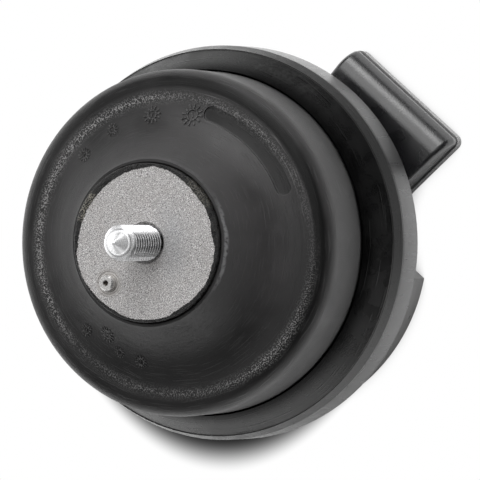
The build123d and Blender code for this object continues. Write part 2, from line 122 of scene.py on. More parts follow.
# %% Helpers that turn a value into a share
def ramped(tree, value, low, high, start=0.0, end=1.0, smooth=True):
    """Changes a value smoothly from start at low to end at high, and holds it outside."""
    kind = "SMOOTHSTEP" if smooth else "LINEAR"
    limits = {"Value": value, "From Min": low, "From Max": high, "To Min": start, "To Max": end}
    return put(tree, "ShaderNodeMapRange", limits, interpolation_type=kind).outputs["Result"]


def between(tree, value, low, full_from, full_to, high):
    """1 from full_from to full_to, fading to 0 at low and at high."""
    return product(tree, ramped(tree, value, low, full_from), ramped(tree, value, full_to, high, 1.0, 0.0))


def line_at(tree, value, middle, full, gone, strength=1.0):
    """A line where a value is near middle, at its strength up to full away and nothing past gone."""
    off = sums(tree, "ABSOLUTE", sums(tree, "SUBTRACT", value, middle))
    return ramped(tree, off, full, gone, strength, 0.0)

# %% [markdown]
# The studio is a white floor in a dim room, lit by large soft lights. The strongest stands over
# the tab and draws the long highlight on the buffer. One hangs above, and the walls on the left
# and in front glow a little, which gives the rubber its grey sheen there, while it stays black
# where it mirrors the dim side. Each light is a round patch of the room that fades at its edge.

# %% Soft lights of the room
room = bpy.data.worlds.new("room")
room.use_nodes = True
scene.world = room
walls = room.node_tree
walls.nodes.clear()
seen = put(walls, "ShaderNodeTexCoord").outputs["Generated"]


def soft_light(direction, sharpness, strength):
    """A glowing patch of the room round a direction, smaller for a higher sharpness."""
    facing = along(walls, seen, Vector(direction).normalized())
    return product(walls, sums(walls, "POWER", sums(walls, "MAXIMUM", facing, 0.0), sharpness), strength)


soft_lights = {
    "over the tab": soft_light((0.72, 0.43, 0.54), 36.0, 8.0),
    "overhead": soft_light((0.22, 0.36, 0.90), 12.0, 2.8),
    "left wall": soft_light((-0.50, 0.86, 0.09), 9.0, 2.0),
    "near wall": soft_light((-0.60, -0.79, 0.0), 16.0, 1.7),
    "left of the camera": soft_light((-0.82, -0.16, 0.54), 14.0, 0.58),
    "behind the camera": soft_light((0.27, -0.31, 0.91), 9.0, 0.30),
}
print("soft lights:", ", ".join(soft_lights))

# %% [markdown]
# The lights are added up over a faint even glow. The camera itself sees plain white where it
# looks past the mount, as on a cut-out product photo.

# %% Room
room_light = 0.02
for patch in soft_lights.values():
    room_light = sums(walls, "ADD", patch, room_light)
white = (1.0, 1.0, 1.0, 1.0)
channels = {"Red": room_light, "Green": room_light, "Blue": room_light}
lit = put(walls, "ShaderNodeCombineColor", channels).outputs[0]
by_camera = put(walls, "ShaderNodeLightPath").outputs["Is Camera Ray"]
by_ray = {"Factor": by_camera, "A": lit, "B": white}
room_tone = put(walls, "ShaderNodeMix", by_ray, data_type="RGBA").outputs["Result"]
glow = put(walls, "ShaderNodeBackground", {"Color": room_tone, "Strength": 1.0})
put(walls, "ShaderNodeOutputWorld", {"Surface": glow.outputs[0]})
print("world:", room.name)

# %% [markdown]
# The floor is a plain matt white to the light and a step brighter in reflections. The camera
# sees a pure white backdrop in its place, as in a product photo, and the mount's shadow on it.
# The shadow is soft and has two parts. Both come from ambient occlusion, which tells how much of
# the room is open over a point of the floor, so the shadow goes when the mount goes.

# %% Floor material and its directions
floor_finish = bpy.data.materials.new("pale_floor")
floor_finish.use_nodes = True
floor_tree = floor_finish.node_tree
floor_tree.nodes.clear()
floor_point = put(floor_tree, "ShaderNodeTexCoord").outputs["Object"]
right = along(floor_tree, floor_point, (0.657, -0.754, 0.0))
down = along(floor_tree, floor_point, (-0.754, -0.657, 0.0))
print("floor material:", floor_finish.name)

# %% [markdown]
# The first part of the shadow lies below the near side. It fades outwards across a wide arc, and
# only shows where the mount hides some of the room within 80 mm. The second part is the narrow
# dark line where the mount stands on the floor.

# %% Shadow on the floor
arc_middle = 0.013
arc_bend = 13.0
shadow_core = 0.10
shadow_power = 1.7
aside = sums(floor_tree, "ADD", right, arc_middle)
arc = sums(floor_tree, "MULTIPLY_ADD", product(floor_tree, aside, aside), arc_bend, down)
fading = sums(floor_tree, "POWER", ramped(floor_tree, arc, 0.0580, 0.0690, shadow_core, 1.0), shadow_power)


def openness(reach):
    """How open the room is over the floor, counting only what stands within reach metres."""
    return put(floor_tree, "ShaderNodeAmbientOcclusion", {"Distance": reach}, samples=16).outputs["AO"]


open_room = openness(0.080)
near_room = openness(0.009)
below_mount = ramped(floor_tree, down, 0.020, 0.050)
hidden = product(floor_tree, ramped(floor_tree, open_room, 0.93, 0.995, 1.0, 0.0), below_mount)
shade = sums(floor_tree, "MULTIPLY_ADD", sums(floor_tree, "SUBTRACT", fading, 1.0), hidden, 1.0)
shade = product(floor_tree, shade, ramped(floor_tree, near_room, 0.15, 0.70, 0.25, 1.0))
print("shadow arc bends by", arc_bend, "per metre")

# %% Floor
path = put(floor_tree, "ShaderNodeLightPath").outputs
matt_white = (0.9, 0.9, 0.9, 1.0)
mirrored_white = (1.9, 1.9, 1.9, 1.0)
by_ray = {"Factor": path["Is Glossy Ray"], "A": matt_white, "B": mirrored_white}
floor_tone = put(floor_tree, "ShaderNodeMix", by_ray, data_type="RGBA").outputs["Result"]
matt = put(floor_tree, "ShaderNodeBsdfDiffuse", {"Color": floor_tone}).outputs[0]
backdrop = put(floor_tree, "ShaderNodeEmission", {"Color": white, "Strength": shade}).outputs[0]
floor_look = put(floor_tree, "ShaderNodeMixShader", {0: path["Is Camera Ray"], 1: matt, 2: backdrop})
put(floor_tree, "ShaderNodeOutputMaterial", {"Surface": floor_look.outputs[0]})

floor_mesh = bpy.data.meshes.new("floor")
reach = 4.0
corners = [(-reach, -reach, 0), (reach, -reach, 0), (reach, reach, 0), (-reach, reach, 0)]
floor_mesh.from_pydata(corners, [], [(0, 1, 2, 3)])
floor_mesh.materials.append(floor_finish)
floor = bpy.data.objects.new("floor", floor_mesh)
scene.collection.objects.link(floor)
print("floor:", 2 * reach, "m square")

# %% [markdown]
# Materials come next. Each one starts from the object's own coordinates, in metres, so a grain
# of 0.4 mm has the same size on every piece. The distance from the mount's axis is worked out
# too, because moulds and lathes leave marks that run round it.

# %% Helpers that start a finish
def finish(name):
    """A new material with its tree, its shader and the point and radius that patterns use."""
    material = bpy.data.materials.new(name)
    material.use_nodes = True
    tree = material.node_tree
    tree.nodes.clear()
    shader = put(tree, "ShaderNodeBsdfPrincipled")
    put(tree, "ShaderNodeOutputMaterial", {"Surface": shader.outputs[0]})
    point = put(tree, "ShaderNodeTexCoord").outputs["Object"]
    level = put(tree, "ShaderNodeVectorMath", {0: point, 1: (1.0, 1.0, 0.0)}, operation="MULTIPLY")
    radius = put(tree, "ShaderNodeVectorMath", {0: level.outputs[0]}, operation="LENGTH").outputs["Value"]
    return material, tree, shader, point, radius


def turn_and_height(tree, point):
    """The angle round the axis in degrees, from the tab, and the height over the floor."""
    xyz = put(tree, "ShaderNodeSeparateXYZ", {"Vector": point}).outputs
    return product(tree, sums(tree, "ARCTAN2", xyz["Y"], xyz["X"]), 180.0 / pi), xyz["Z"]

# %% Helpers for patterns
def grain(tree, point, size, detail=2.0, stretch=None):
    """Cloudy noise whose blotches are about size metres across."""
    if stretch:
        point = put(tree, "ShaderNodeVectorMath", {0: point, 1: stretch}, operation="MULTIPLY").outputs[0]
    made = put(tree, "ShaderNodeTexNoise", {"Vector": point, "Scale": 1.0 / size, "Detail": detail})
    return made.outputs["Fac"]


def around(tree, turn, stops):
    """A value that changes with the angle round the axis, from a few (degrees, value) stops."""
    share = ramped(tree, turn, -180.0, 180.0, smooth=False)
    made = put(tree, "ShaderNodeValToRGB", {"Fac": share})
    made.color_ramp.interpolation = "EASE"
    points = made.color_ramp.elements
    for place, (degrees, value) in enumerate(stops):
        at = (degrees + 180.0) / 360.0
        stop = points[place] if place < 2 else points.new(at)
        stop.position = at
        stop.color = (value, value, value, 1.0)
    return made.outputs["Color"]

# %% Helpers for colour, gloss and relief
def blend(tree, share, first, second):
    """Mixes two colours, or a colour and a socket, by a share."""
    first = (*first, 1.0) if isinstance(first, tuple) else first
    second = (*second, 1.0) if isinstance(second, tuple) else second
    ends = {"Factor": share, "A": first, "B": second}
    return put(tree, "ShaderNodeMix", ends, data_type="RGBA").outputs["Result"]


def coat(tree, shader, colour, roughness):
    """Gives the shader its colour and its roughness."""
    tree.links.new(colour, shader.inputs["Base Color"])
    tree.links.new(roughness, shader.inputs["Roughness"])


def relief(tree, shader, heights, depth):
    """Turns a height pattern into a bump of a given depth in metres."""
    made = put(tree, "ShaderNodeBump", {"Height": heights, "Distance": depth, "Strength": 1.0})
    tree.links.new(made.outputs["Normal"], shader.inputs["Normal"])

# %% [markdown]
# ## Rubber of the bell
# Moulded rubber is nearly black with a satin sheen. On this bell the flat ring near the shoulder
# has a narrow rough band with light specks, and beside it a smoother strip darkened with painted
# shade. The cone is smooth, and lighter on the side towards the tab with dust and a painted sheen.
# The kidney recess has painted shade on its bottom and a painted highlight on its rim, and scuffs
# and fine turning marks of the mould run round it all. The scuffs are noise that is laid out in
# polar coordinates and stretched along the circles.

# %% Helper for scuffs that run round the axis
def scuffs(tree, point, radius, width, length, low, high):
    """Thin uneven lines along circles round the axis, from 0 to 1."""
    usual_r = 0.042
    xyz = put(tree, "ShaderNodeSeparateXYZ", {"Vector": point}).outputs
    wave = grain(tree, point, length * 2.0, 2.0)
    across = sums(tree, "DIVIDE", sums(tree, "MULTIPLY_ADD", wave, width * 5.0, radius), width)
    lengthwise = product(tree, sums(tree, "ARCTAN2", xyz["Y"], xyz["X"]), usual_r / length)
    laid_out = put(tree, "ShaderNodeCombineXYZ", {"X": across, "Y": lengthwise}).outputs[0]
    made = put(tree, "ShaderNodeTexNoise", {"Vector": laid_out, "Scale": 1.0, "Detail": 2.0}).outputs["Fac"]
    return ramped(tree, made, low, high)

# %% Grains of the bell rubber
bell_rubber, tree, shader, point, radius = finish("bell_rubber")
turn, z = turn_and_height(tree, point)
clouds = grain(tree, point, 0.011, 5.0)
specks = grain(tree, point, 0.00038, 1.0)
patches = grain(tree, point, 0.0040, 3.0)
on_top = ramped(tree, z, 0.0588, 0.0603)
print("grains for:", bell_rubber.name)

# %% [markdown]
# The speckled band wanders a little: its radius and its strength change with the angle. A colour
# ramp read by the angle holds such a list of values in one node. The radius is written in
# decimetres there, so that its numbers use the ramp's range from 0 to 1.

# %% Speckled band
band_places = [
    (-180, 0.412), (-150, 0.420), (-120, 0.431), (-90, 0.440), (-60, 0.438),
    (-30, 0.424), (0, 0.410), (90, 0.412), (150, 0.416), (180, 0.412),
]
band_strengths = [
    (-180, 0.20), (-150, 0.36), (-120, 0.42), (-90, 0.80), (-65, 0.35), (-45, 0.14), (-20, 0.24),
    (0, 0.42), (30, 0.38), (60, 0.80), (90, 1.0), (150, 0.85), (180, 0.20),
]
wander = 0.0012
band_share = around(tree, turn, band_strengths)
off_band = sums(tree, "MULTIPLY_ADD", around(tree, turn, band_places), -0.1, radius)
off_band = sums(tree, "MULTIPLY_ADD", sums(tree, "SUBTRACT", patches, 0.5), wander, off_band)
off_band = sums(tree, "ABSOLUTE", off_band)
worn = product(tree, band_share, ramped(tree, patches, 0.30, 0.60, 0.55, 1.0))
band = product(tree, ramped(tree, off_band, 0.0003, 0.0013, 1.0, 0.0), on_top, worn)
wide_band = product(tree, ramped(tree, off_band, 0.0010, 0.0026, 1.0, 0.0), on_top, band_share)
both_bands = sums(tree, "MULTIPLY_ADD", wide_band, 0.42, band)
band_specks = product(tree, both_bands, ramped(tree, specks, 0.50, 0.60))
print("band:", len(band_places), "places and", len(band_strengths), "strengths")

# %% [markdown]
# The cone is cloudy black. It is darkened on the near side with painted shade and is lighter on
# the tab's side with dust and a painted sheen, and the smoother strip outside the band is darkened
# with painted shade. Each of these is a colour laid over the last one by a share.

# %% Cone and the shaded strip
rubber_tone = blend(
    tree, ramped(tree, clouds, 0.32, 0.68), (0.0050, 0.0046, 0.0048), (0.0225, 0.0213, 0.0218)
)
near_side = along(tree, point, (-0.55, -0.84, 0.0))
# Painted shade: the cone is darker on its near side.
near_shade_share = ramped(tree, near_side, 0.000, 0.028, 0.0, 0.85)
rubber_tone = blend(tree, near_shade_share, rubber_tone, (0.004, 0.0036, 0.0038))
tab_side = along(tree, point, (0.94, -0.34, 0.0))
# Dust and a painted sheen: the cone is lighter on the tab's side.
dust_and_sheen = product(tree, ramped(tree, tab_side, 0.004, 0.026), ramped(tree, radius, 0.0330, 0.0430, 1.0, 0.0))
dust_and_sheen = product(tree, dust_and_sheen, ramped(tree, clouds, 0.25, 0.75, 0.55, 1.0))
rubber_tone = blend(tree, dust_and_sheen, rubber_tone, (0.043, 0.0410, 0.0418))
strip_shade_strengths = [
    (-180, 0.15), (-120, 0.15), (-70, 0.7), (-40, 1.0), (20, 1.0), (60, 0.6), (180, 0.15),
]
# Painted shade: the smoother strip outside the band is darkened.
strip = between(tree, radius, 0.0434, 0.0444, 0.0464, 0.0476)
shaded = product(tree, strip, on_top, around(tree, turn, strip_shade_strengths))
rubber_tone = blend(tree, shaded, rubber_tone, (0.002, 0.002, 0.002))
print("polished strip:", len(strip_shade_strengths), "strengths")

# %% [markdown]
# The kidney recess is a slot bent round the axis with two round ends. Its distance field is cheap
# to work out: how far a point is off the slot's circle, and how far past its end along the arc.
# The distance gives both the painted shade on its bottom and the painted highlight on its rim.

# %% Kidney recess
slot_r = 0.0381
slot_turn = -1.95
slot_half_turn = 23.35
metres_a_degree = 0.000667
slot_edge = 0.00215
off_circle = sums(tree, "SUBTRACT", radius, slot_r)
past_end = sums(tree, "ABSOLUTE", sums(tree, "ADD", turn, -slot_turn))
past_end = sums(tree, "MAXIMUM", sums(tree, "SUBTRACT", past_end, slot_half_turn), 0.0)
past_end = product(tree, past_end, metres_a_degree)
end_squared = product(tree, past_end, past_end)
slot_away = sums(tree, "SQRT", sums(tree, "MULTIPLY_ADD", off_circle, off_circle, end_squared))
# Painted shade on the bottom of the kidney recess, stronger towards one end.
slot_shade = ramped(tree, turn, -28.0, 12.0, 0.62, 1.0)
kidney = product(tree, ramped(tree, slot_away, 0.0016, 0.0021, 1.0, 0.0), on_top, slot_shade)
# Painted highlight along the rim of the kidney recess.
kidney_rim_highlight = product(tree, line_at(tree, slot_away, slot_edge, 0.00008, 0.00026), on_top)
rim_highlight_share = product(tree, kidney_rim_highlight, ramped(tree, clouds, 0.35, 0.60, 0.1, 0.6))
rubber_tone = blend(tree, product(tree, kidney, 0.90), rubber_tone, (0.006, 0.006, 0.006))
rubber_tone = blend(tree, rim_highlight_share, rubber_tone, (0.085, 0.083, 0.084))
print("kidney recess:", 2 * slot_half_turn, "degrees long")

# %% [markdown]
# Scuffs cross the whole bell faintly and gather beside the kidney. The lip round the disc has a
# painted highlight on the near right, a pale broken line along its thin edge.

# %% Scuffs and the edge of the lip
lip_r = 0.0241
lines = scuffs(tree, point, radius, 0.00040, 0.010, 0.56, 0.68)
beside_kidney = product(
    tree,
    between(tree, radius, 0.0404, 0.0410, 0.0432, 0.0440),
    between(tree, turn, -62.0, -30.0, 20.0, 40.0),
)
line_share = product(tree, lines, sums(tree, "MULTIPLY_ADD", beside_kidney, 0.75, 0.08))
rubber_tone = blend(tree, line_share, rubber_tone, (0.125, 0.122, 0.123))
off_lip = sums(tree, "MULTIPLY_ADD", patches, 0.0010, sums(tree, "SUBTRACT", radius, lip_r))
# Painted highlight: a pale broken line along the lip's edge on the near right.
lip_highlight = ramped(tree, sums(tree, "ABSOLUTE", off_lip), 0.0001, 0.0005, 1.0, 0.0)
lip_turn = between(tree, turn, -88.0, -66.0, -42.0, -12.0)
highlight_gaps = ramped(tree, grain(tree, point, 0.0012, 3.0), 0.28, 0.52)
lip_highlight = product(tree, lip_highlight, sums(tree, "MULTIPLY_ADD", lip_turn, 0.9, 0.10), highlight_gaps)
rubber_tone = blend(tree, lip_highlight, rubber_tone, (0.20, 0.20, 0.205))
print("lip line at", lip_r, "m")

# %% [markdown]
# The band is rougher than the rest and the shaded strip is smoother. Both the strip and the recess
# mirror less of the room. The relief adds rings from the turned mould, a fine skin grain,
# the scuffs, and bumps where the band is speckled.

# %% Bell rubber
ring_density = 2200.0
gloss = ramped(tree, clouds, 0.25, 0.75, 0.40, 0.54)
gloss = sums(tree, "MULTIPLY_ADD", band, 0.18, gloss)
gloss = sums(tree, "MULTIPLY_ADD", shaded, -0.14, gloss)
coat(tree, shader, blend(tree, band_specks, rubber_tone, (0.265, 0.261, 0.260)), gloss)
dull = sums(tree, "MAXIMUM", product(tree, kidney, 0.40), product(tree, shaded, 0.60))
tree.links.new(sums(tree, "MULTIPLY_ADD", dull, -0.5, 0.5), shader.inputs["Specular IOR Level"])
ring_phase = {"W": product(tree, radius, ring_density), "Detail": 2.0}
rings = put(tree, "ShaderNodeTexNoise", ring_phase, noise_dimensions="1D").outputs["Fac"]
surface = product(tree, grain(tree, point, 0.00035, 2.0), 0.26)
surface = sums(tree, "MULTIPLY_ADD", rings, 0.10, surface)
surface = sums(tree, "MULTIPLY_ADD", lines, 0.20, surface)
relief(tree, shader, sums(tree, "MULTIPLY_ADD", product(tree, band, specks), 1.4, surface), 0.00022)
print("finish:", bell_rubber.name)

# %% [markdown]
# The small stamps on the flat ring stand a little proud of it. A crumbly noise that goes from
# black to grey is a painted highlight on their relief and makes them show up against the darker
# rubber below.

# %% Stamp rubber
stamp_rubber, tree, shader, point, radius = finish("stamp_rubber")
crumbs = grain(tree, point, 0.0005, 2.0)
# Painted highlight: the crumbly grey of the stamps.
stamp_highlight_tone = blend(tree, ramped(tree, crumbs, 0.40, 0.62), (0.010, 0.010, 0.010), (0.090, 0.088, 0.088))
coat(tree, shader, stamp_highlight_tone, ramped(tree, crumbs, 0.3, 0.7, 0.34, 0.50))
relief(tree, shader, crumbs, 0.00020)
print("finish:", stamp_rubber.name)

# %% [markdown]
# The skin of rubber round the bare disc is the same rubber as the bell's, but shiny, rough at its
# border, and spotted with a little of the tan adhesive that bonds rubber to metal. Two stretches
# of it carry more of the adhesive.

# %% Skin rubber
skin_rubber, tree, shader, point, radius = finish("skin_rubber")
turn, z = turn_and_height(tree, point)
crumbs = grain(tree, point, 0.00045, 3.0)
lumps = grain(tree, point, 0.0018, 3.0)
first_stretch = between(tree, turn, 88.0, 93.0, 110.0, 116.0)
second_stretch = product(tree, between(tree, turn, -24.0, -18.0, 0.0, 8.0), 0.45)
stretches = sums(tree, "MAXIMUM", first_stretch, second_stretch)
adhesive = product(tree, stretches, ramped(tree, crumbs, 0.46, 0.56))
adhesive = sums(tree, "MAXIMUM", adhesive, product(tree, ramped(tree, crumbs, 0.66, 0.72), 0.55))
skin_tone = blend(tree, ramped(tree, lumps, 0.35, 0.65), (0.006, 0.006, 0.006), (0.022, 0.021, 0.021))
skin_tone = blend(tree, product(tree, adhesive, 0.8), skin_tone, (0.33, 0.31, 0.26))
coat(tree, shader, skin_tone, ramped(tree, lumps, 0.3, 0.7, 0.24, 0.45))
relief(tree, shader, sums(tree, "MULTIPLY_ADD", crumbs, 0.6, lumps), 0.0012)
print("finish:", skin_rubber.name)

# %% [markdown]
# ## Rubber of the second drum
# The drum is smoother and shinier than the bell. Its slope is near black, painted shade of the
# bell's shadow, most plainly next to the bell. A dusty smear runs over its front slope at the top
# of the picture, and the near part of the slope is lighter with a painted sheen. A thin line
# where the mould parts runs round its edge, painted pale as a highlight, most on the near right.

# %% Colour of the drum
jacket_rubber, tree, shader, point, radius = finish("jacket_rubber")
turn, z = turn_and_height(tree, point)
smears = grain(tree, point, 0.0055, 5.0)
fine_smears = grain(tree, point, 0.0011, 3.0)
mid_slope = between(tree, radius, 0.0506, 0.0528, 0.0550, 0.0562)
dust_strengths = [
    (-180, 0.1), (-40, 0.0), (-12, 0.0), (12, 0.30), (30, 0.75), (70, 0.9), (120, 0.5), (180, 0.1),
]
dusty = product(tree, mid_slope, around(tree, turn, dust_strengths), ramped(tree, z, 0.0300, 0.0330))
dusty = product(tree, dusty, ramped(tree, product(tree, smears, fine_smears), 0.20, 0.36))
# Painted sheen: the near part of the slope is lighter.
painted_near_sheen = product(tree, between(tree, turn, -150.0, -110.0, -70.0, -35.0), mid_slope, 0.5)
# Painted shade: the slope's base colour is near black, for the bell's shadow on it.
drum_tone = blend(tree, ramped(tree, smears, 0.3, 0.7), (0.0016, 0.0016, 0.0017), (0.0040, 0.0040, 0.0041))
drum_tone = blend(tree, painted_near_sheen, drum_tone, (0.022, 0.0215, 0.0215))
drum_tone = blend(tree, product(tree, dusty, 0.60), drum_tone, (0.060, 0.062, 0.060))
parting_highlight_strengths = [
    (-180, 0.1), (-110, 0.35), (-85, 0.7), (-62, 0.7), (-45, 0.2), (20, 0.25), (180, 0.1),
]
parting_r = 0.05555
# Painted highlight along the parting line, strongest on the near right.
parting = line_at(tree, radius, parting_r, 0.00006, 0.00020)
parting = product(tree, parting, around(tree, turn, parting_highlight_strengths))
drum_tone = blend(tree, parting, drum_tone, (0.16, 0.158, 0.157))
on_wall = ramped(tree, z, 0.0285, 0.0300, 1.0, 0.0)
drum_tone = blend(tree, on_wall, drum_tone, (0.020, 0.020, 0.0205))
print("parting line at", parting_r, "m")

# %% [markdown]
# The slope and the upright wall differ in gloss. The slope mirrors little of the room in the
# groove beside the bell, most on the tab's side, as painted shade there, and the wall mirrors the
# room more and more towards its foot. Faint streaks run down the wall, and scuffs run round the
# slope.

# %% Drum rubber
seam_shade_strengths = [
    (-180, 1.0), (-80, 1.0), (-45, 0.5), (-20, 0.30), (15, 0.30), (40, 0.75), (80, 1.0), (180, 1.0),
]
streaks = grain(tree, point, 0.0016, 3.0, (1.0, 1.0, 0.12))
slope_gloss = sums(tree, "MULTIPLY_ADD", dusty, 0.25, ramped(tree, smears, 0.3, 0.7, 0.22, 0.34))
wall_gloss = ramped(tree, streaks, 0.3, 0.7, 0.27, 0.30)
coat(tree, shader, drum_tone, mixed(tree, on_wall, slope_gloss, wall_gloss))
# Painted shade: the slope mirrors little of the room next to the bell.
seam_shade = product(tree, ramped(tree, radius, 0.0494, 0.0535, 0.06, 0.42), around(tree, turn, seam_shade_strengths))
mirroring = mixed(tree, on_wall, seam_shade, ramped(tree, z, 0.0195, 0.0300, 1.0, 0.50))
tree.links.new(mirroring, shader.inputs["Specular IOR Level"])
lines = scuffs(tree, point, radius, 0.0006, 0.020, 0.58, 0.74)
surface = product(tree, grain(tree, point, 0.0005, 2.0), ramped(tree, on_wall, 0.0, 1.0, 1.0, 0.45))
surface = sums(tree, "MULTIPLY_ADD", streaks, product(tree, on_wall, 0.05), surface)
relief(tree, shader, sums(tree, "MULTIPLY_ADD", lines, 1.2, surface), 0.00003)
print("finish:", jacket_rubber.name)

# %% [markdown]
# The buffer is smooth rubber, a bluish black with a long soft highlight, so it mirrors more of
# the room than the other rubbers do. The membranes inside are plainer and more matt.

# %% Buffer rubber
buffer_rubber, tree, shader, point, radius = finish("buffer_rubber")
clouds = grain(tree, point, 0.009, 3.0)
cloud_share = ramped(tree, clouds, 0.3, 0.7)
buffer_tone = blend(tree, cloud_share, (0.0045, 0.0045, 0.0055), (0.0085, 0.0085, 0.0100))
coat(tree, shader, buffer_tone, ramped(tree, clouds, 0.3, 0.7, 0.24, 0.30))
shader.inputs["Specular IOR Level"].default_value = 0.95
surface = sums(tree, "MULTIPLY_ADD", clouds, 2.0, grain(tree, point, 0.0004, 2.0))
relief(tree, shader, surface, 0.000035)
print("finish:", buffer_rubber.name)

# %% Membrane rubber
membrane_rubber, tree, shader, point, radius = finish("membrane_rubber")
clouds = grain(tree, point, 0.005, 3.0)
membrane_tone = blend(tree, clouds, (0.020, 0.020, 0.020), (0.030, 0.030, 0.031))
coat(tree, shader, membrane_tone, ramped(tree, clouds, 0.3, 0.7, 0.45, 0.6))
relief(tree, shader, grain(tree, point, 0.0006, 2.0), 0.00003)
print("finish:", membrane_rubber.name)

# %% [markdown]
# ## Metal of the core
# The core is an aluminium casting, blasted with grit so that rubber sticks to it. Its bare disc
# is grey and grainy, with dark specks, bright specks that are painted glints, a few warmer clouds,
# and a darker, cooler patch of painted shade beside the stud.

# %% Colour of the core
core_metal, tree, shader, point, radius = finish("core_metal")
specks = grain(tree, point, 0.00021, 1.5)
glints = grain(tree, point, 0.00028, 0.0)
coarse = grain(tree, point, 0.0035, 3.0)
metal_tone = blend(tree, ramped(tree, specks, 0.38, 0.60), (0.19, 0.185, 0.184), (0.79, 0.771, 0.768))
# Painted glints: the brightest specks are set near white.
metal_tone = blend(tree, ramped(tree, glints, 0.66, 0.74), metal_tone, (0.95, 0.94, 0.93))
metal_tone = blend(tree, ramped(tree, glints, 0.33, 0.25), metal_tone, (0.12, 0.115, 0.115))
metal_tone = blend(tree, ramped(tree, coarse, 0.35, 0.75, 0.0, 0.22), metal_tone, (0.44, 0.405, 0.39))
# Painted shade: a darker, cooler patch on the disc beside the stud.
beside_stud = ramped(tree, along(tree, point, (0.60, -0.62, 0.0)), 0.002, 0.009)
stud_shade = product(tree, beside_stud, ramped(tree, radius, 0.006, 0.017, 1.0, 0.0), 0.35)
metal_tone = blend(tree, stud_shade, metal_tone, (0.34, 0.37, 0.40))
print("colour of:", core_metal.name)

# %% [markdown]
# A cutter has faced a small spot round the locating pin, so rings run round the pin there. A sine
# of the distance from the pin draws them, and their border is ragged with the coarse noise.

# %% Core metal
pin_centre = (-0.01576, 0.00110, 0.0)
ring_density = 9500.0
from_pin = put(tree, "ShaderNodeVectorMath", {0: point, 1: pin_centre}, operation="SUBTRACT").outputs[0]
flat_pin = put(tree, "ShaderNodeVectorMath", {0: from_pin, 1: (1.0, 1.0, 0.0)}, operation="MULTIPLY").outputs[0]
pin_distance = put(tree, "ShaderNodeVectorMath", {0: flat_pin}, operation="LENGTH").outputs["Value"]
near_pin = sums(tree, "MULTIPLY_ADD", coarse, 0.0030, pin_distance)
near_pin = ramped(tree, near_pin, 0.0042, 0.0060, 1.0, 0.0)
swirl = ramped(tree, sums(tree, "SINE", product(tree, pin_distance, ring_density)), -1.0, 1.0)
swirl_tone = blend(tree, swirl, (0.30, 0.275, 0.25), (0.66, 0.64, 0.62))
metal_tone = blend(tree, product(tree, near_pin, 0.7), metal_tone, swirl_tone)
coat(tree, shader, metal_tone, ramped(tree, specks, 0.35, 0.65, 0.46, 0.62))
shader.inputs["Metallic"].default_value = 0.6
rings = product(tree, swirl, near_pin, 0.35)
relief(tree, shader, sums(tree, "MULTIPLY_ADD", specks, sums(tree, "SUBTRACT", 1.0, near_pin), rings), 0.00008)
print("finish:", core_metal.name)

# %% [markdown]
# The steel and aluminium pieces inside, and the bush, need only a plain metal with fine upright
# scratches, so one function makes both finishes.

# %% Steel and aluminium
def metal(name, dark, light, roughness, depth):
    """A bare metal with fine scratches and a light cloudiness."""
    material, tree, shader, point, radius = finish(name)
    clouds = grain(tree, point, 0.003, 3.0)
    scratches = grain(tree, point, 0.0005, 2.0, (1.0, 1.0, 0.2))
    scratched = ramped(tree, scratches, 0.3, 0.7, roughness - 0.06, roughness + 0.06)
    coat(tree, shader, blend(tree, ramped(tree, clouds, 0.3, 0.7), dark, light), scratched)
    shader.inputs["Metallic"].default_value = 1.0
    relief(tree, shader, scratches, depth)
    print("finish:", name)
    return material


plain_steel = metal("plain_steel", (0.40, 0.40, 0.41), (0.52, 0.51, 0.51), 0.36, 0.00001)
nozzle_aluminium = metal("nozzle_aluminium", (0.58, 0.58, 0.59), (0.68, 0.68, 0.69), 0.42, 0.00002)

# %% [markdown]
# Zinc plating on the stud is nearly white and only half mirror-like. Painted shade darkens the
# grooves of its thread, most on the side where the photo shows them dark. The grooves are known
# by their distance from the axis. A dark line marks the foot of the turned cone.

# %% Zinc plating on the stud
zinc_plating, tree, shader, point, radius = finish("zinc_plating")
turn, z = turn_and_height(tree, point)
cone_foot_r = 0.00375
groove_shade_strengths = [(-180, 0.10), (-90, 0.12), (-64, 0.95), (-28, 0.95), (-8, 0.20), (180, 0.10)]
clouds = grain(tree, point, 0.003, 3.0)
plating = blend(tree, ramped(tree, clouds, 0.3, 0.7), (0.93, 0.93, 0.94), (0.99, 0.99, 1.0))
below_cone = ramped(tree, z, 0.0952, 0.0956, 1.0, 0.0)
# Painted shade in the grooves of the thread.
groove = product(tree, ramped(tree, radius, 0.00466, 0.00492, 1.0, 0.0), below_cone)
groove = product(tree, groove, around(tree, turn, groove_shade_strengths))
plating = blend(tree, groove, plating, (0.02, 0.02, 0.022))
cone_foot = line_at(tree, radius, cone_foot_r, 0.00008, 0.00026, 0.55)
cone_foot = product(tree, cone_foot, ramped(tree, z, 0.0955, 0.0960))
plating = blend(tree, cone_foot, plating, (0.16, 0.16, 0.165))
print("cone foot at", cone_foot_r, "m")

# %% [markdown]
# The locating pin has the same plating. It stands away from the axis, so the radius tells it
# apart. It is greyer than the stud and has brown dirt in its dimple.

# %% Zinc plating
dimple = (-0.01576, 0.00110, 0.0818)
from_dimple = put(tree, "ShaderNodeVectorMath", {0: point, 1: dimple}, operation="DISTANCE").outputs["Value"]
dimple_share = ramped(tree, from_dimple, 0.0005, 0.0011)
pin_tone = blend(tree, dimple_share, (0.06, 0.052, 0.044), (0.70, 0.69, 0.68))
plating = blend(tree, ramped(tree, radius, 0.009, 0.010), plating, pin_tone)
scratches = grain(tree, point, 0.0004, 2.0, (1.0, 1.0, 0.2))
coat(tree, shader, plating, ramped(tree, scratches, 0.3, 0.7, 0.20, 0.32))
tree.links.new(ramped(tree, z, 0.0955, 0.0962, 0.68, 0.42), shader.inputs["Metallic"])
relief(tree, shader, scratches, 0.000008)
print("finish:", zinc_plating.name)

# %% [markdown]
# The base plate and the cup are painted black. Thin paint on sheet steel is smooth, with a faint
# orange peel. Its colour is set to a dark grey, a painted reflection of the white floor.

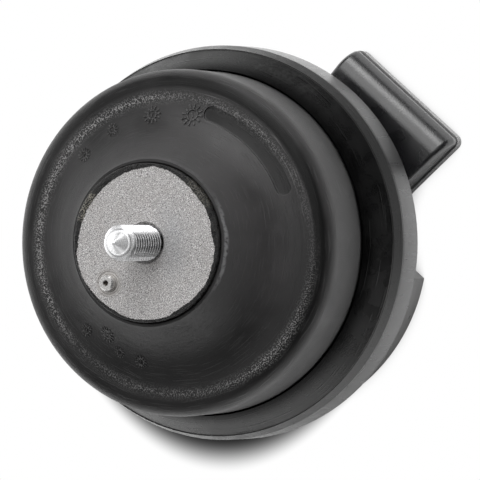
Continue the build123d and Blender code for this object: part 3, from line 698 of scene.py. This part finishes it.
# %% Black paint
black_paint, tree, shader, point, radius = finish("black_paint")
clouds = grain(tree, point, 0.012, 3.0)
# Painted reflection: the colour is a dark grey for the white floor that the paint mirrors.
reflection_grey_tone = blend(tree, ramped(tree, clouds, 0.3, 0.7), (0.150, 0.148, 0.148), (0.210, 0.207, 0.206))
coat(tree, shader, reflection_grey_tone, ramped(tree, clouds, 0.3, 0.7, 0.26, 0.36))
shader.inputs["Specular IOR Level"].default_value = 0.8
relief(tree, shader, grain(tree, point, 0.0009, 2.0), 0.00003)
print("finish:", black_paint.name)

# %% [markdown]
# Every solid piece now gets the finish that the part's record names for it.

# %% Finishes on the solid pieces
finishes = {
    "core_metal": core_metal,
    "zinc_plating": zinc_plating,
    "plain_steel": plain_steel,
    "bell_rubber": bell_rubber,
    "jacket_rubber": jacket_rubber,
    "buffer_rubber": buffer_rubber,
    "membrane_rubber": membrane_rubber,
    "nozzle_aluminium": nozzle_aluminium,
    "black_paint": black_paint,
}
for part in frame["record"]["subparts"]:
    shown_mesh = nodes[part["node"]].data
    shown_mesh.materials.clear()
    shown_mesh.materials.append(finishes[part["material_slot"]])

# %% [markdown]
# ## Threads that are really cut
# The solid model keeps the stud and the bush plain. Both are turned parts, so one Geometry Nodes
# tree can make them: it takes the half section as a row of points, turns it round the axis as a
# grid of rows and columns, and sinks a groove whose depth follows the height and the angle. A
# number on each point of the section says how much it is cut, so the thread runs out softly
# at its ends, which a swept helix would not do.

# %% Helpers for Geometry Nodes trees
def new_tree(name, labels):
    """A Geometry Nodes tree with a geometry at both ends and named inputs."""
    tree = bpy.data.node_groups.new(name, "GeometryNodeTree")
    tree.interface.new_socket("Geometry", in_out="OUTPUT", socket_type="NodeSocketGeometry")
    tree.interface.new_socket("Geometry", in_out="INPUT", socket_type="NodeSocketGeometry")
    for label, kind in labels.items():
        tree.interface.new_socket(label, in_out="INPUT", socket_type="NodeSocket" + kind)
    return tree, put(tree, "NodeGroupInput").outputs


def stored(tree, name):
    """A number that each point of the seed mesh carries."""
    return put(tree, "GeometryNodeInputNamedAttribute", {"Name": name}, data_type="FLOAT").outputs["Attribute"]


def sampled(tree, geometry, value, index, kind):
    """The value that one point of the seed mesh has."""
    wanted = {"Geometry": geometry, "Value": value, "Index": index}
    return put(tree, "GeometryNodeSampleIndex", wanted, data_type=kind).outputs["Value"]


def close_tree(tree, geometry, finish_input):
    """Makes all instances real, sets the finish and hands the mesh out of the tree."""
    whole = put(tree, "GeometryNodeRealizeInstances", {"Geometry": geometry}).outputs[0]
    coated = put(tree, "GeometryNodeSetMaterial", {"Geometry": whole, "Material": finish_input}).outputs[0]
    put(tree, "NodeGroupOutput", {"Geometry": coated})
    print("tree:", tree.name, len(tree.nodes), "nodes")

# %% Grid with a row for each point of the section
turning, given = new_tree("turned_with_a_thread", {
    "Columns": "Int", "Pitch": "Float", "Crest Radius": "Float", "Root Radius": "Float",
    "Inside": "Bool", "Finish": "Material",
})
seed = given["Geometry"]
rows = put(turning, "GeometryNodeAttributeDomainSize", {"Geometry": seed}).outputs["Point Count"]
edges = put(turning, "FunctionNodeIntegerMath", {0: given["Columns"], 1: 1}, operation="ADD").outputs[0]
grid = put(turning, "GeometryNodeMeshGrid", {"Vertices X": edges, "Vertices Y": rows}).outputs["Mesh"]
index = put(turning, "GeometryNodeInputIndex").outputs[0]
row = put(turning, "FunctionNodeIntegerMath", {0: index, 1: rows}, operation="MODULO").outputs[0]
column = put(turning, "FunctionNodeIntegerMath", {0: index, 1: rows}, operation="DIVIDE_FLOOR").outputs[0]
here = put(turning, "GeometryNodeInputPosition").outputs[0]
section_point = sampled(turning, seed, here, row, "FLOAT_VECTOR")
section = put(turning, "ShaderNodeSeparateXYZ", {"Vector": section_point}).outputs
cut = sampled(turning, seed, stored(turning, "cut"), row, "FLOAT")
print("grid of:", turning.name)

# %% [markdown]
# A metric thread has a flat crest, a flat root and straight flanks between them. The phase says
# where a point lies in the pitch, from the height and the angle together, so the groove climbs
# one pitch a turn. Where the section is already deeper than the groove, it stays as it is.

# %% Groove that climbs round the section
crest_share = 0.125
root_share = 0.75
turns = sums(turning, "DIVIDE", column, given["Columns"])
rise = sums(turning, "DIVIDE", section["Z"], given["Pitch"])
phase = sums(turning, "FRACT", sums(turning, "SUBTRACT", rise, turns))
from_crest = sums(turning, "ABSOLUTE", sums(turning, "SUBTRACT", phase, 0.5))
from_crest = product(turning, from_crest, 2.0)
groove_ends = (given["Crest Radius"], given["Root Radius"])
groove = ramped(turning, from_crest, crest_share, root_share, *groove_ends, smooth=False)
outside = sums(turning, "MINIMUM", section["X"], groove)
inside = sums(turning, "MAXIMUM", section["X"], groove)
sides = {"Switch": given["Inside"], "False": outside, "True": inside}
threaded = put(turning, "GeometryNodeSwitch", sides, input_type="FLOAT").outputs[0]
turned_r = mixed(turning, cut, section["X"], threaded)
print("crest flat:", crest_share, "of the pitch")

# %% Grid turned round the axis
seam_gap = 0.000002
angle = product(turning, turns, 2.0 * pi)
turned_x = product(turning, turned_r, sums(turning, "COSINE", angle))
turned_y = product(turning, turned_r, sums(turning, "SINE", angle))
turned = {"X": turned_x, "Y": turned_y, "Z": section["Z"]}
place = put(turning, "ShaderNodeCombineXYZ", turned).outputs[0]
moved = put(turning, "GeometryNodeSetPosition", {"Geometry": grid, "Position": place}).outputs[0]
doubles = {"Geometry": moved, "Distance": seam_gap}
closed = put(turning, "GeometryNodeMergeByDistance", doubles).outputs[0]
close_tree(turning, closed, given["Finish"])

# %% [markdown]
# A tree runs as a modifier on a small seed mesh. Its result is kept as a plain mesh, cleaned,
# and handed to the frame in place of the solid piece that it stands for.

# %% Helper that runs a tree
def grow(name, seed_mesh, tree, values):
    """Runs a tree on a mesh and keeps the result as a plain mesh."""
    grown = bpy.data.objects.new(name, seed_mesh)
    scene.collection.objects.link(grown)
    modifier = grown.modifiers.new("grow", "NODES")
    modifier.node_group = tree
    for socket in tree.interface.items_tree:
        if socket.in_out == "INPUT" and socket.name in values:
            modifier[socket.identifier] = values[socket.name]
    evaluated = grown.evaluated_get(bpy.context.evaluated_depsgraph_get())
    mesh = bpy.data.meshes.new_from_object(evaluated)
    grown.modifiers.remove(modifier)
    grown.data = mesh
    return grown

# %% Helpers that finish a mesh
def tidy(piece, corner=35.0):
    """Merges doubles, turns all faces outwards and keeps sharp corners sharp."""
    shape = bmesh.new()
    shape.from_mesh(piece.data)
    bmesh.ops.remove_doubles(shape, verts=shape.verts, dist=1e-7)
    bmesh.ops.dissolve_degenerate(shape, dist=1e-8, edges=shape.edges)
    bmesh.ops.recalc_face_normals(shape, faces=shape.faces)
    shape.to_mesh(piece.data)
    shape.free()
    piece.data.shade_smooth()
    piece.data.set_sharp_from_angle(angle=radians(corner))
    return piece


def ready(piece, slot_name, *replaced):
    """Sets a finished piece on the mount's only body and in place of solid pieces. Its slot_name is not used.
    """
    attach(piece, "root")
    if replaced:
        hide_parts(*replaced)
    triangles = sum(len(face.vertices) - 2 for face in piece.data.polygons)
    print("piece:", piece.name, triangles, "triangles")
    return piece

# %% Helper that draws a half section
def half_section(name, corners):
    """A row of points (radius, height, cut, rows up to the next corner), in millimetres."""
    places, cuts = [], []
    for (r0, z0, c0, count), (r1, z1, c1, _) in zip(corners, corners[1:]):
        for step in range(count):
            share = step / count
            places.append(((r0 + (r1 - r0) * share) * mm, 0.0, (z0 + (z1 - z0) * share) * mm))
            cuts.append(c0 + (c1 - c0) * share)
    places.append((corners[-1][0] * mm, 0.0, corners[-1][1] * mm))
    cuts.append(corners[-1][2])
    mesh = bpy.data.meshes.new(name)
    mesh.from_pydata(places, [(i, i + 1) for i in range(len(places) - 1)], [])
    mesh.attributes.new("cut", "FLOAT", "POINT").data.foreach_set("value", cuts)
    return mesh

# %% [markdown]
# The stud is M10 with a pitch of 1.5 mm. Its thread starts down in the recess of the core and
# goes on through the chamfer, whose slope cuts the crests off, up to a turned cone point.

# %% Threaded stud
pitch = 1.5 * mm
thread_columns = 96
stud_section = half_section("stud_section", [
    (0.0, 60.0, 0, 1), (5.0, 60.0, 0, 1), (5.0, 78.0, 0, 1), (4.3, 78.0, 0, 2),
    (4.3, 78.5, 0, 3), (5.0, 79.2, 1, 174), (5.0, 95.5, 1, 14), (3.85, 96.4, 1, 1),
    (3.78, 96.5, 0, 2), (3.35, 96.72, 0, 3), (3.2, 97.0, 0, 10), (0.45, 99.75, 0, 3),
    (0.0, 99.9, 0, 1),
])
stud = grow("threaded_stud", stud_section, turning, {
    "Columns": thread_columns, "Pitch": pitch, "Crest Radius": 5.0 * mm,
    "Root Radius": 4.12 * mm, "Inside": False, "Finish": zinc_plating,
})
ready(tidy(stud, 28.0), "zinc_plating", "stud")

# %% [markdown]
# The bush in the base takes an M10 screw from below. The same tree cuts its thread, with the
# groove sunk outwards from the bore. The mouth is chamfered and the bore ends closed.

# %% Threaded bush
bush_section = half_section("bush_section", [
    (0.0, 11.6, 0, 1), (1.2, 11.5, 0, 1), (4.25, 10.6, 0, 1), (4.25, 9.9, 0, 4),
    (4.25, 9.4, 1, 92), (4.25, 0.8, 1, 10), (5.1, 0.0, 1, 1), (8.0, 0.0, 0, 1),
    (8.0, 5.0, 0, 1), (12.0, 5.0, 0, 1), (12.0, 8.0, 0, 1), (8.0, 8.0, 0, 1),
    (8.0, 13.0, 0, 1), (0.0, 13.0, 0, 1),
])
bush = grow("threaded_bush", bush_section, turning, {
    "Columns": thread_columns, "Pitch": pitch, "Crest Radius": 4.25 * mm,
    "Root Radius": 5.0 * mm, "Inside": True, "Finish": plain_steel,
})
ready(tidy(bush), "plain_steel", "base_bush")

# %% [markdown]
# ## Torn skin round the bare disc
# When the bell is moulded, a thin skin of rubber creeps up the side of the core and a little way
# over its edge. It is trimmed by hand, which leaves a ragged border, wide on one side and almost
# gone on the other. The skin is a strip that follows the side and the rounded edge of the disc.
# Its border is measured off the photo at a few angles and made ragged with noise, so it has no
# rule for Geometry Nodes and is built point by point.

# %% Sizes of the skin
skin_thickness = 0.20
skin_columns = 1080
skin_rows = 12
disc_r = 21.9
disc_top = 80.0
edge_r = 0.3
side_top = disc_top - edge_r
side_foot = 77.4
side_run = side_top - side_foot
bend_run = edge_r * pi / 2
flat_r = disc_r - edge_r
border = [
    (-180, 21.1), (-168, 20.95), (-153, 21.35), (-138, 21.25), (-121, 21.4), (-108, 20.9), (-91, 21.25),
    (-78, 21.65), (-65, 21.3), (-55, 21.3), (-41, 20.4), (-33, 20.75), (-22, 20.7), (-10, 20.3), (3, 20.5),
    (12, 20.85), (23, 21.15), (34, 21.4), (43, 20.7), (56, 20.4), (72, 20.05), (91, 19.9), (107, 20.1),
    (120, 20.4), (133, 20.8), (141, 21.5), (157, 21.55), (173, 21.15), (180, 21.1),
]
tears = [(0.12, 16.0), (0.20, 45.0), (0.16, 130.0)]
print("border of the skin:", len(border), "angles")

# %% Helpers that place the skin
def skin_point(run, angle, lift):
    """A point on the skin at a length along its section, lifted off the metal."""
    if run < side_run:
        r, z = disc_r + lift, side_foot + run
    elif run < side_run + bend_run:
        bend = (run - side_run) / edge_r
        r, z = flat_r + (edge_r + lift) * cos(bend), side_top + (edge_r + lift) * sin(bend)
    else:
        r, z = flat_r - (run - side_run - bend_run), disc_top + lift
    return (r * cos(angle) * mm, r * sin(angle) * mm, z * mm)


def skin_reach(angle):
    """How far along its section the skin reaches at an angle."""
    degrees = (angle * 180.0 / pi + 180.0) % 360.0 - 180.0
    for (a0, r0), (a1, r1) in zip(border, border[1:]):
        if a0 <= degrees <= a1:
            share = (degrees - a0) / (a1 - a0)
            border_r = r0 + (r1 - r0) * share * share * (3.0 - 2.0 * share)
    at = Vector((cos(angle), sin(angle), 0.0))
    border_r += sum(depth * noise.noise(at * waves) for depth, waves in tears)
    return side_run + bend_run + max(-0.2, flat_r - border_r)

# %% [markdown]
# The skin has an outer and an inner side, row by row from its foot to its border. It swells and
# thins a little on its way round, and is thinnest at its border.

# %% Torn skin
row_spread = 0.8
swelling = 0.5
thin_border = 0.35
gap_to_metal = 0.004
skin_shape = bmesh.new()
outer_rows, inner_rows = [], []
for column in range(skin_columns):
    angle = 2 * pi * column / skin_columns
    run = skin_reach(angle)
    at = Vector((cos(angle), sin(angle), 0.0))
    outer, inner = [], []
    for row in range(skin_rows + 1):
        share = (row / skin_rows) ** row_spread
        swell = noise.noise(at * 14.0 + Vector((0, 0, 3.0 * share)))
        lift = skin_thickness * (1.0 + swelling * swell)
        lift *= thin_border + (1.0 - thin_border) * min(1.0, (1.0 - share) * 5.0)
        outer.append(skin_shape.verts.new(skin_point(run * share, angle, lift)))
        inner.append(skin_shape.verts.new(skin_point(run * share, angle, gap_to_metal)))
    outer_rows.append(outer)
    inner_rows.append(inner)
for column in range(skin_columns):
    after = (column + 1) % skin_columns
    outer, next_outer = outer_rows[column], outer_rows[after]
    inner, next_inner = inner_rows[column], inner_rows[after]
    for row in range(skin_rows):
        skin_shape.faces.new((outer[row], next_outer[row], next_outer[row + 1], outer[row + 1]))
        skin_shape.faces.new((next_inner[row], inner[row], inner[row + 1], next_inner[row + 1]))
    for row in (0, skin_rows):
        skin_shape.faces.new((outer[row], next_outer[row], next_inner[row], inner[row]))
skin_mesh = bpy.data.meshes.new("torn_skin")
skin_shape.to_mesh(skin_mesh)
skin_shape.free()
skin = bpy.data.objects.new("torn_skin", skin_mesh)
scene.collection.objects.link(skin)
skin_mesh.materials.append(skin_rubber)
ready(tidy(skin, 60.0), "bell_rubber")

# %% [markdown]
# ## Mould stamps
# The flat ring of the bell has small stamps like a sun: a ring with short rays and a needle. They
# all have the same shape, so a tree places one on each point of a small mesh, at its own size and
# turn, and lays it on the rubber below by shooting a ray down.

# %% One stamp
stamping, given = new_tree("stamps_on_rubber", {
    "Surface": "Object", "Ring Radius": "Float", "Ray Count": "Int", "Ray Length": "Float",
    "Height": "Float", "Finish": "Material",
})
ring_r = given["Ring Radius"]
ray_length = given["Ray Length"]
ring_line = {"Resolution": 28, "Radius": ring_r}
ring_path = put(stamping, "GeometryNodeCurvePrimitiveCircle", ring_line).outputs["Curve"]
ring_wire = {"Resolution": 6, "Radius": given["Height"]}
ring_section = put(stamping, "GeometryNodeCurvePrimitiveCircle", ring_wire).outputs["Curve"]
swept = {"Curve": ring_path, "Profile Curve": ring_section}
ring = put(stamping, "GeometryNodeCurveToMesh", swept).outputs[0]
ray_height = product(stamping, given["Height"], 1.7)


def bar(length, width):
    """A straight bar as high as the rays."""
    size = put(stamping, "ShaderNodeCombineXYZ", {"X": length, "Y": width, "Z": ray_height}).outputs[0]
    return put(stamping, "GeometryNodeMeshCube", {"Size": size}).outputs["Mesh"]


ray_circle = {"Vertices": given["Ray Count"], "Radius": product(stamping, ring_r, 1.62)}
ray_roots = put(stamping, "GeometryNodeMeshCircle", ray_circle).outputs["Mesh"]
outwards = put(stamping, "GeometryNodeInputPosition").outputs[0]
aimed = put(stamping, "FunctionNodeAlignRotationToVector", {"Vector": outwards}, axis="X").outputs["Rotation"]
ray = bar(ray_length, product(stamping, ray_length, 0.36))
on_circle = {"Points": ray_roots, "Instance": ray, "Rotation": aimed}
rays = put(stamping, "GeometryNodeInstanceOnPoints", on_circle).outputs[0]
needle = bar(ring_r, product(stamping, ring_r, 0.26))
parts = put(stamping, "GeometryNodeJoinGeometry")
for piece in (ring, rays, needle):
    stamping.links.new(piece, parts.inputs[0])
stamp = put(stamping, "GeometryNodeRealizeInstances", {"Geometry": parts.outputs[0]}).outputs[0]
print("one stamp:", len(stamping.nodes), "nodes")

# %% Stamps laid on the bell
above = 0.12
shot = 0.1
turn_vector = put(stamping, "ShaderNodeCombineXYZ", {"Z": stored(stamping, "turn")}).outputs[0]
copies = {"Points": given["Geometry"], "Instance": stamp, "Rotation": turn_vector}
copies["Scale"] = stored(stamping, "size")
laid = put(stamping, "GeometryNodeInstanceOnPoints", copies).outputs[0]
real = put(stamping, "GeometryNodeRealizeInstances", {"Geometry": laid}).outputs[0]
place = put(stamping, "GeometryNodeInputPosition").outputs[0]
flat = put(stamping, "ShaderNodeSeparateXYZ", {"Vector": place}).outputs
high = put(stamping, "ShaderNodeCombineXYZ", {"X": flat["X"], "Y": flat["Y"], "Z": above}).outputs[0]
target = put(stamping, "GeometryNodeObjectInfo", {"Object": given["Surface"]}).outputs["Geometry"]
down_ray = {
    "Target Geometry": target, "Source Position": high,
    "Ray Direction": (0.0, 0.0, -1.0), "Ray Length": shot,
}
hit = put(stamping, "GeometryNodeRaycast", down_ray).outputs
off_surface = {0: hit["Hit Normal"], "Scale": flat["Z"]}
lift = put(stamping, "ShaderNodeVectorMath", off_surface, operation="SCALE").outputs[0]
lifted = {0: hit["Hit Position"], 1: lift}
landed = put(stamping, "ShaderNodeVectorMath", lifted, operation="ADD").outputs[0]
laid_down = put(stamping, "GeometryNodeSetPosition", {"Geometry": real, "Position": landed}).outputs[0]
close_tree(stamping, laid_down, given["Finish"])

# %% [markdown]
# The places of the stamps are read off the photo. Each one has a radius in millimetres, an angle
# in degrees, a size against the usual stamp, and its own turn in radians.

# %% Stamps
stamp_spots = [
    (36.3, 49.1, 1.12, 0.4), (36.5, 29.5, 1.35, 1.1), (36.4, 70.0, 0.8, 2.0), (36.3, 87.8, 0.9, 0.2),
    (35.5, 175.2, 0.8, 0.9), (31.2, -173.2, 1.0, 2.4), (34.2, -164.5, 0.7, 1.7), (34.5, -152.6, 0.8, 0.6),
]
places = [(r * cos(radians(a)) * mm, r * sin(radians(a)) * mm, 0.0) for r, a, _, _ in stamp_spots]
spot_mesh = bpy.data.meshes.new("stamp_spots")
spot_mesh.from_pydata(places, [], [])
sizes = [size for _, _, size, _ in stamp_spots]
own_turns = [own_turn for _, _, _, own_turn in stamp_spots]
spot_mesh.attributes.new("size", "FLOAT", "POINT").data.foreach_set("value", sizes)
spot_mesh.attributes.new("turn", "FLOAT", "POINT").data.foreach_set("value", own_turns)
stamps = grow("mould_stamps", spot_mesh, stamping, {
    "Surface": nodes["main_spring"], "Ring Radius": 1.15 * mm, "Ray Count": 12,
    "Ray Length": 0.95 * mm, "Height": 0.26 * mm, "Finish": stamp_rubber,
})
ready(tidy(stamps, 50.0), "bell_rubber")
